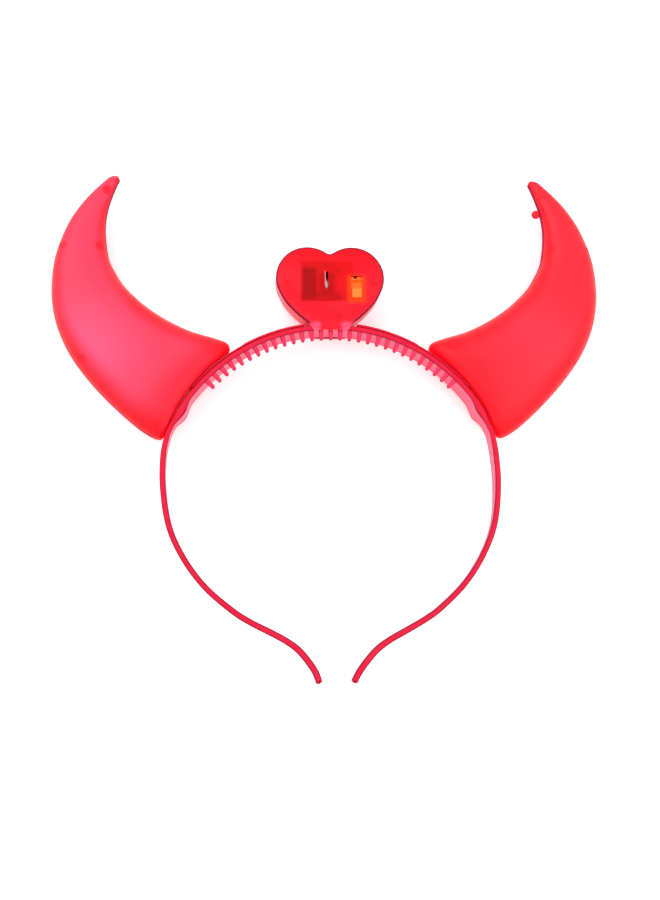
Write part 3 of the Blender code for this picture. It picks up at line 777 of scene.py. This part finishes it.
def makeComb():
    tooth = makeTooth()
    flow = Flow("combTeeth")
    count = flow.input("Tooth Count", "NodeSocketInt", comb["count"])
    radius = flow.input("Root Radius", "NodeSocketFloat", comb["rootRadius"] * mm)
    lastAngle = flow.input("Last Angle", "NodeSocketFloat", math.radians(comb["lastAngle"]))
    middle = flow.input("Hoop Centre", "NodeSocketVector", toWorld(0.0, 0.0, 0.0))
    pattern = flow.input("Tooth", "NodeSocketObject", tooth)
    points = flow.add("GeometryNodePoints", None, {"Count": count})
    index = flow.add("GeometryNodeInputIndex").outputs[0]
    share = flow.calc("DIVIDE", index, flow.calc("SUBTRACT", count, 1.0))
    turn = flow.add("ShaderNodeMapRange", None, {
        "Value": share, "To Min": flow.calc("MULTIPLY", lastAngle, -1.0), "To Max": lastAngle,
    }).outputs[0]
    across = flow.calc("MULTIPLY", flow.calc("SINE", turn), radius)
    up = flow.calc("MULTIPLY", flow.calc("COSINE", turn), radius)
    spot = flow.add("ShaderNodeCombineXYZ", None, {0: across, 1: up})
    place = flow.add("ShaderNodeVectorMath", {"operation": "ADD"}, {0: spot.outputs[0], 1: middle})
    moved = flow.add("GeometryNodeSetPosition", None,
                     {0: points.outputs[0], "Position": place.outputs[0]})
    facing = flow.add("ShaderNodeCombineXYZ", None, {2: flow.calc("MULTIPLY", turn, -1.0)})
    shape = flow.add("GeometryNodeObjectInfo", None, {"Object": pattern})
    teeth = flow.add("GeometryNodeInstanceOnPoints", None,
                     {"Points": moved.outputs[0], "Instance": shape.outputs["Geometry"],
                      "Rotation": facing.outputs[0]})
    piece = flow.piece("combTeeth", teeth.outputs[0], bandPlastic("combPlastic"),
                       hoop["smoothAngle"])
    bpy.data.objects.remove(tooth, do_unlink=True)
    return piece


channel = {
    "innerRadius": 71.8,
    "outerRadius": 72.7,
    "tongueRadius": 72.4,
    "halfWidth": 5.9,
    "start": 8.4,  # degrees from the crown
    "step": 29.6,
    "end": 50.5,
    "stepRamp": 1.2,
    "edgeRound": 0.3,
    "endInset": 0.25,
    "alongSteps": 60,
    # painted light and shade: how much light shows through, and the dark edges
    "thin": 0.15,
    "innerRim": 0.5,
    "endRim": 0.8,
    "edgeLimit": 0.6,
}


def makeChannel(side):
    rows, thin, rim = [], [], []
    total = channel["alongSteps"]
    for index in range(total + 1):
        angle = channel["start"] + (channel["end"] - channel["start"]) * index / total
        drop = ease(angle, channel["step"] - channel["stepRamp"], channel["step"])
        outer = channel["outerRadius"] + (channel["tongueRadius"] - channel["outerRadius"]) * drop
        half = (outer - channel["innerRadius"]) / 2
        middle = (outer + channel["innerRadius"]) / 2
        inset = channel["endInset"] if index in (0, total) else 0.0
        turn = math.radians(angle) * side
        points = roundedSection(half - inset / 2, channel["halfWidth"] - inset,
                                min(channel["edgeRound"], half * channel["edgeLimit"]))
        rows.append([((middle + a) * math.sin(turn), (middle + a) * math.cos(turn), z)
                     for a, z, near in points])
        thin.append([channel["thin"]] * len(points))
        rim.append([near if a > 0 else channel["innerRim"] * near for a, z, near in points])
    shape = Shape()
    shape.capped(rows, thin=(thin, channel["thin"]), rim=(rim, channel["endRim"]))
    name = "channelRight" if side > 0 else "channelLeft"
    return shape.finished(name, bandPlastic(name + "Plastic"), hoop["smoothAngle"])


# Horns

horn = {
    "columns": ("innerX", "innerY", "outerX", "outerY", "halfDepth", "bow"),
    "rows": (  # sections from the base to the tip
        (38.7, 62.7, 67.8, 24.0, 9.4, 4.0),
        (41.5, 65.2, 71.0, 26.3, 9.8, 3.8),
        (46.9, 67.2, 77.5, 30.7, 10.3, 3.0),
        (56.0, 69.9, 88.0, 40.3, 10.8, 1.6),
        (65.0, 74.2, 97.1, 50.3, 11.1, 0.6),
        (72.6, 79.1, 104.5, 60.8, 11.2, 0.0),
        (78.6, 84.2, 109.4, 71.8, 10.8, 0.0),
        (83.0, 88.9, 111.6, 82.4, 10.0, 0.0),
        (86.2, 93.9, 111.7, 92.2, 9.2, 0.0),
        (88.9, 99.5, 110.7, 100.4, 8.3, 0.0),
        (90.2, 106.0, 108.2, 108.8, 7.3, 0.0),
        (90.7, 112.5, 104.9, 116.5, 6.1, 0.0),
        (90.2, 119.0, 100.5, 123.4, 4.9, 0.0),
        (88.7, 125.1, 96.0, 128.8, 3.8, 0.0),
        (86.2, 131.8, 91.5, 133.4, 2.6, 0.0),
        (85.2, 134.0, 89.5, 135.2, 2.0, 0.0),
        (85.9, 135.7, 87.6, 136.1, 0.7, 0.0),
    ),
    "depthLimit": 11.0,
    "roundness": 2.2,
    "wall": 1.4,
    "baseRound": (0.0, 1.3, 4.2),  # place of the cap, where the rounding ends, how far it draws in
    "hollowRound": (0.5, 1.4, 3.2),
    "hollowEnd": 13.0,
    "alongStep": 0.125,
    "aroundSteps": 44,
    "roundSteps": 12,
    "capSteps": 10,
    "tipCore": 0.45,  # how light the tip is painted, of the rest: painted shade towards the tip
    "tipSpan": (13.0, 16.0),  # places over which the tip is painted darker
    "rimOffset": 0.6,
    "capMarks": (0.12, 0.8, 0.0),  # core, rim and base of the flat ends
    "pins": ((89.9, 128.9), (92.6, 104.1), (106.9, 104.1), (99.2, 57.3), (70.0, 29.6)),
    "pinRadius": 1.6,
    "nub": (88.4, 121.6),
    "nubRadius": 1.8,
    "nubThickness": 1.6,
}


def hornPoint(place, turn, drawnIn, side, front, across=None):  # point, share and distance inwards
    row = dict(zip(horn["columns"], smoothRow(horn["rows"], place)))
    inner = Vector((row["innerX"], row["innerY"]))
    outer = Vector((row["outerX"], row["outerY"]))
    half = (outer - inner) / 2
    out = Vector((-half.y, half.x)).normalized()
    power = 2.0 / horn["roundness"]
    if across is None:
        across = math.copysign(abs(math.cos(turn)) ** power, math.cos(turn))
    across *= (half.length - drawnIn) / half.length
    height = abs(math.sin(turn)) ** power * (min(row["halfDepth"], horn["depthLimit"]) - drawnIn)
    point = (inner + outer) / 2 + half * across + out * row["bow"] * (1.0 - across * across)
    z = max(height, halfSeam) * (1 if front else -1)
    share = 1.0 - abs(across)
    return (point.x * side, point.y, z), share, half.length * share


def hornShell(shape, side, front, rounding, end, drawnIn):
    start, finishPlace, depth = rounding
    places = []
    for step in range(horn["roundSteps"]):
        turn = math.pi / 2 * step / horn["roundSteps"]
        places.append((start + (finishPlace - start) * (1.0 - math.cos(turn)),
                       depth * (1.0 - math.sin(turn)) + drawnIn))
    count = int(round((end - finishPlace) / horn["alongStep"]))
    for step in range(count + 1):
        places.append((finishPlace + (end - finishPlace) * step / count, drawnIn))
    steps = horn["aroundSteps"]
    turns = [math.pi * step / steps for step in range(steps + 1)]
    rows, core, rim, base = [], [], [], []
    travelled, previous = 0.0, None
    for place, inset in places:
        found = [hornPoint(place, turn, inset, side, front) for turn in turns]
        middle = Vector(found[steps // 2][0]).xy
        travelled += (middle - previous).length if previous else 0.0
        previous = middle
        light = 1.0 - (1.0 - horn["tipCore"]) * ease(place, *horn["tipSpan"])
        rows.append([point for point, share, distance in found])
        core.append([share * light for point, share, distance in found])
        rim.append([min(distance, travelled + horn["rimOffset"])
                    for point, share, distance in found])
        base.append([travelled] * len(found))
    shape.grid(rows, core=core, rim=rim, base=base)
    across = horn["capSteps"]
    for place, inset in (places[0], places[-1]):
        caps = []
        for turn in turns[:steps // 2 + 1]:
            reach = abs(math.cos(turn)) ** (2.0 / horn["roundness"])
            caps.append([hornPoint(place, turn, inset, side, front, reach * (1 - 2 * k / across))[0]
                         for k in range(across + 1)])
        flat = [[[mark] * (across + 1)] * len(caps) for mark in horn["capMarks"]]
        shape.grid(caps, core=flat[0], rim=flat[1], base=flat[2])


def makeHorn(side, front):
    shape = Shape()
    hornShell(shape, side, front, horn["baseRound"], len(horn["rows"]) - 1, 0.0)
    hornShell(shape, side, front, horn["hollowRound"], horn["hollowEnd"], horn["wall"])
    name = "horn%s%s" % ("Right" if side > 0 else "Left", "Front" if front else "Back")
    piece = shape.finished(name, hornPlastic(name + "Plastic", side), fillRims=True)
    addBosses(piece, [(x * side, y) for x, y in horn["pins"]], front, horn["pinRadius"])
    if side > 0 and not front:
        addNub(piece)
    return piece


post = {
    "sides": 20,
    "footInset": 0.15,
    "holeShare": 0.55,
    "topShare": 1.1,
    "rayStart": 0.2,
    "rootDepth": 0.3,
    "lowest": 0.5,
    "marks": {"core": 0.3, "rim": 5.0, "base": 20.0},
    "nubMarks": {"core": 0.5, "rim": 5.0, "base": 20.0},
    "nubSides": 28,
    "nubLevels": 8,
    "nubRound": 0.6,
}


def addPosts(piece, rows, marks):  # closed columns of equal rings, joined to a piece's mesh
    form = bmesh.new()
    form.from_mesh(piece.data)
    layers = {key: form.verts.layers.float.get(key) for key in marks}
    for rings in rows:
        verts = [[form.verts.new(toWorld(*point)) for point in ring] for ring in rings]
        for ring in verts:
            for vert in ring:
                for key, layer in layers.items():
                    if layer:
                        vert[layer] = marks[key]
        bmesh.ops.recalc_face_normals(form, faces=joinRings(form, verts))
    form.to_mesh(piece.data)
    form.free()


def addBosses(piece, places, front, radius):  # posts inside a shell, from its wall to the seam
    tree = BVHTree.FromPolygons([vert.co for vert in piece.data.vertices],
                                [tuple(face.vertices) for face in piece.data.polygons])
    away = 1 if front else -1
    inset = post["footInset"]
    levels = ((halfSeam, radius * post["holeShare"]), (halfSeam, radius - inset),
              (halfSeam + inset, radius), (None, radius * post["topShare"]))
    rows = []
    for x, y in places:
        rings = []
        for z, r in levels:
            ring = []
            for spotX, spotY in ringOutline(x, y, r, post["sides"]):
                height = z
                if z is None:  # the top follows the inside of the wall
                    start = toWorld(spotX, spotY, away * (halfSeam + post["rayStart"]))
                    hit = tree.ray_cast(start, Vector((0, 0, away)))[0]
                    height = halfSeam + post["lowest"]
                    if hit:
                        height = abs(hit.z / mm - centreZ) + post["rootDepth"]
                ring.append((spotX, spotY, away * height))
            rings.append(ring)
        rows.append(rings)
    addPosts(piece, rows, post["marks"])


def addNub(piece):  # the small round tab on one horn's seam
    half = horn["nubThickness"] / 2
    rings = []
    for level in range(post["nubLevels"] + 1):
        turn = math.pi * level / post["nubLevels"]
        radius = horn["nubRadius"] - post["nubRound"] + post["nubRound"] * math.sin(turn)
        z = -halfSeam - half + half * math.cos(turn)
        rings.append([(x, y, z) for x, y in ringOutline(*horn["nub"], radius, post["nubSides"])])
    addPosts(piece, [rings], post["nubMarks"])


# Heart-shaped battery box

switch = {
    "x": 10.65,
    "restY": 83.95,
    "travel": 3.9,
    "halfX": 1.95,
    "halfY": 1.85,
    "bottom": 6.3,
    "top": 9.4,
    "gap": 0.3,
    "edgeRound": 0.25,
    "cornerRound": 0.35,
    "cornerSteps": 4,
    "crestInset": 0.1,
    "crestDrop": 0.07,
    "headroom": 1.5,  # how far the window runs on past the knob's path
    # box of a painted black patch: shade in a deep hole
    "hole": (9.65, 10.95, 90.5, 91.5),
}

heart = {
    "lobeCentre": (9.0, 90.5),
    "lobeRadius": 12.9,
    "lobeAngles": (124.0, -22.0),
    "notchY": 100.5,
    "side": ((18.6, 81.1), (15.7, 77.6), (12.6, 74.6), (8.6, 71.6), (4.3, 69.9)),
    "bottomY": 69.5,
    "frontLevels": (  # height and how far the outline is drawn in there
        (0.15, 0.0), (7.2, 0.0), (7.75, 0.06), (8.1, 0.25), (8.32, 0.6), (8.4, 1.1),
    ),
    "backLevels": (
        (-0.15, 0.0), (-0.8, 0.0), (-4.2, 0.55), (-6.2, 1.5), (-7.0, 2.3), (-7.4, 2.9),
        (-7.68, 3.7), (-7.8, 4.6),
    ),
    "frontHollow": ((-1.0, 1.2), (5.0, 1.2), (7.2, 2.8)),
    "backHollow": ((1.0, 1.2), (-0.8, 1.2), (-4.2, 1.8), (-6.6, 3.6)),
    "foot": ((-7.0, 69.1), (7.0, 69.1), (9.4, 72.7), (8.4, 75.2), (-8.4, 75.2), (-9.4, 72.7)),
    "footZ": (-7.6, 7.7),
    "saddleGap": 0.3,
    "floorRadius": 73.1,
    "floorSpan": (-20.0, 20.0),
    "pins": ((-17.6, 88.2), (17.6, 88.2), (3.5, 74.8)),
    "pinRadius": 1.6,
    "tabSlot": (-1.85, -0.85, 86.1, 93.1),
    "frontCut": (4.0, 10.0),
    "arcSteps": 32,
    "notchSteps": 4,
    "sideSteps": 5,
    "levelSteps": 3,
    "seatSides": 240,
    "smoothAngle": 35.0,
}


def heartOutline(drawnIn):
    cx, cy = heart["lobeCentre"]
    first, last = heart["lobeAngles"]
    arc = []
    for step in range(heart["arcSteps"] + 1):
        turn = math.radians(first + (last - first) * step / heart["arcSteps"])
        arc.append((cx + heart["lobeRadius"] * math.cos(turn),
                    cy + heart["lobeRadius"] * math.sin(turn)))
    notch = ((-arc[0][0], arc[0][1]), (0.0, heart["notchY"]), arc[0], arc[1])
    steps = heart["notchSteps"]
    right = [smoothRow(notch, 1.0 + k / steps) for k in range(steps)]
    right.extend(arc)
    endX, endY = heart["side"][-1]
    below = [arc[-2], arc[-1], *heart["side"], (0.0, heart["bottomY"]), (-endX, endY)]
    steps = heart["sideSteps"]
    for span in range(1, len(below) - 2):
        right.extend([smoothRow(below, span + k / steps) for k in range(1, steps + 1)])
    outline = [Vector(point) for point in right]
    outline += [Vector((-point.x, point.y)) for point in reversed(outline[1:-1])]
    drawn = []
    for index, point in enumerate(outline):
        before, after = outline[index - 1], outline[(index + 1) % len(outline)]
        along = (after - before).normalized()
        drawn.append((point.x + along.y * drawnIn, point.y - along.x * drawnIn))
    return drawn


def heartRings(levels):
    return [[(x, y, z) for x, y in heartOutline(inset)] for z, inset in levels]


def solidOf(name, rings, material=None):
    shape = Shape()
    shape.capped(rings)
    return shape.finished(name, material or plainTool)


def prismOf(name, outline, low, high):
    return solidOf(name, [[(x, y, low) for x, y in outline], [(x, y, high) for x, y in outline]])


def ringOutline(x, y, radius, sides=48):
    return [(x + radius * math.cos(2 * math.pi * step / sides),
             y + radius * math.sin(2 * math.pi * step / sides)) for step in range(sides)]


def boxOutline(lowX, highX, lowY, highY):
    return [(lowX, lowY), (highX, lowY), (highX, highY), (lowX, highY)]


def makeHeart(front):
    away = 1 if front else -1
    table = heart["frontLevels" if front else "backLevels"]
    levels = [table[0], table[1]]
    steps = heart["levelSteps"]
    for span in range(1, len(table) - 1):
        levels.extend([smoothRow(table, span + step / steps) for step in range(1, steps + 1)])
    name = "heartFront" if front else "heartBack"
    shell = solidOf(name, heartRings(levels), heartPlastic(name + "Plastic"))
    footLow, footHigh = sorted((away * halfSeam, heart["footZ"][1 if front else 0]))
    cutPiece(shell, prismOf("foot", heart["foot"], footLow, footHigh), "UNION")
    sides, gap = heart["seatSides"], heart["saddleGap"]
    hollow = solidOf("hollow", heartRings(heart["frontHollow" if front else "backHollow"]))
    floor = ringOutline(0, 0, heart["floorRadius"], sides)
    cutPiece(hollow, prismOf("floor", floor, *heart["floorSpan"]))
    cutPiece(shell, hollow)
    seat = ringOutline(0, 0, hoop["outerRadius"] + gap, sides)
    cutPiece(shell, prismOf("seat", seat, -bandHalfWidth - gap, bandHalfWidth + gap))
    if front:
        cutPiece(shell, prismOf("slot", boxOutline(*heart["tabSlot"]), *heart["frontCut"]))
        sizeX, sizeY = switch["halfX"] + switch["gap"], switch["halfY"] + switch["gap"]
        windowTop = switch["restY"] + switch["travel"] + sizeY + switch["headroom"]
        window = boxOutline(switch["x"] - sizeX, switch["x"] + sizeX,
                            switch["restY"] - sizeY, windowTop)
        cutPiece(shell, prismOf("window", window, *heart["frontCut"]))
    smoothed(shell.data, heart["smoothAngle"])
    addBosses(shell, heart["pins"], front, heart["pinRadius"])
    return shell


def makeKnob():
    edge, radius, steps = switch["edgeRound"], switch["cornerRound"], switch["cornerSteps"]
    bottom, top = switch["bottom"], switch["top"]
    levels = ((bottom, edge), (bottom + edge, 0.0), (top - edge, 0.0),
              (top - switch["crestDrop"], switch["crestInset"]), (top, edge))
    rings = []
    for z, inset in levels:
        ring = []
        for signX, signY, first in section["corners"]:
            for step in range(steps + 1):
                turn = math.radians(first + 90 * step / steps)
                across = signX * (switch["halfX"] - inset - radius) + radius * math.cos(turn)
                along = signY * (switch["halfY"] - inset - radius) + radius * math.sin(turn)
                ring.append((switch["x"] + across, switch["restY"] + along, z))
        rings.append(ring)
    material = mattPlastic("knobPlastic", (1.0, 0.21, 0.018), (0.97, 0.17, 0.014), 0.42,
                           scale=700.0)
    return solidOf("sliderKnob", rings, material)


# Room, light and camera

camera = {
    "place": (-38.1, -84.41, 457.7),  # millimetres in the frame
    "target": (-0.8, -11.31, 11.0),
    "roll": 1.12,
    "lens": 45.3,
}


def makeCamera():
    place, target = Vector(camera["place"]) * mm, Vector(camera["target"]) * mm
    ahead = (target - place).normalized()
    roll = math.radians(camera["roll"])
    right = ahead.cross(Vector((math.sin(roll), math.cos(roll), 0.0))).normalized()
    up = right.cross(ahead)
    data = bpy.data.cameras.new("camera")
    data.lens = camera["lens"]
    data.clip_start, data.clip_end = 0.01, 20.0
    item = newObject("camera", data)
    item.matrix_world = Matrix(((right.x, up.x, -ahead.x, place.x),
                                (right.y, up.y, -ahead.y, place.y),
                                (right.z, up.z, -ahead.z, place.z), (0, 0, 0, 1)))
    bpy.context.scene.camera = item


studio = {
    "floorSize": 40.0,
    "floorColours": ((0.93, 0.93, 0.93), (0.95, 0.95, 0.95)),
    "floorGlow": 0.3,
    "worldStrength": 0.9,
    "lamps": (  # name, place in metres, size, watts
        ("keyLamp", (-0.7, 0.5, 1.0), 1.1, 8.0),
        ("fillLamp", (0.7, -0.4, 1.0), 1.2, 5.0),
    ),
}


def makeStudio():
    mesh = bpy.data.meshes.new("floor")
    size = studio["floorSize"] / 2
    mesh.from_pydata([(-size, -size, 0), (size, -size, 0), (size, size, 0), (-size, size, 0)],
                     [], [(0, 1, 2, 3)])
    floor = newObject("floor", mesh)
    finish = Finish("paleFloor")
    soft = finish.noise(3.0)
    mesh.materials.append(finish.close({
        "Base Color": finish.blend(soft, *studio["floorColours"]),
        "Roughness": 0.9,
        "Specular IOR Level": 0.1,
        "Emission Color": (1.0, 1.0, 1.0, 1.0),
        "Emission Strength": studio["floorGlow"],
    }))
    for name, place, size, watts in studio["lamps"]:
        data = bpy.data.lights.new(name, "AREA")
        data.size = size
        data.energy = watts
        lamp = newObject(name, data)
        lamp.location = place
        lamp.rotation_mode = "QUATERNION"
        lamp.rotation_quaternion = (-Vector(place)).to_track_quat("-Z", "Y")
    world = bpy.data.worlds.new("softRoom")
    bpy.context.scene.world = world
    world.use_nodes = True
    ground = world.node_tree.nodes["Background"]
    ground.inputs["Color"].default_value = (1.0, 1.0, 1.0, 1.0)
    ground.inputs["Strength"].default_value = studio["worldStrength"]
    bpy.context.scene.view_settings.view_transform = "Standard"
    bpy.context.scene.cycles.use_denoising = True
    bpy.context.scene.cycles.transparent_max_bounces = 12


def dress(node, material):  # a solid that shows as it is gets its material
    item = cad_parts[node]
    item.data.materials.clear()
    item.data.materials.append(material)


print("camera and studio")
makeCamera()
makeStudio()
plainTool = bpy.data.materials.new("cutter")

print("hoop, comb and wire channels")
kept(makeHoop(), "hoop_plastic", "headband")
kept(makeComb(), "hoop_plastic", "headband")
kept(makeChannel(-1), "hoop_plastic", "wire_channel_left")
kept(makeChannel(1), "hoop_plastic", "wire_channel_right")

print("horns")
for side, word in ((-1, "left"), (1, "right")):
    for front, end in ((True, "front"), (False, "back")):
        kept(makeHorn(side, front), "horn_plastic", "horn_%s_%s" % (word, end))

print("heart, switch and cells")
kept(makeHeart(True), "heart_plastic", "heart_front")
kept(makeHeart(False), "heart_plastic", "heart_back")
kept(makeKnob(), "knob_plastic", "switch_knob", body="slider")
dress("battery_holder", mattPlastic("holderPlastic", (0.16, 0.012, 0.02), (0.09, 0.008, 0.014),
                                    0.45))
# painted light: the switch body glows a little, though it is no lamp
dress("switch_body", mattPlastic("switchPlastic", (1.0, 0.17, 0.01), (0.92, 0.11, 0.006), 0.45,
                                 glow=0.3, hole=switch["hole"]))
for number in (1, 2, 3):
    dress("button_cell_%d" % number, nickel("cellNickel%d" % number))
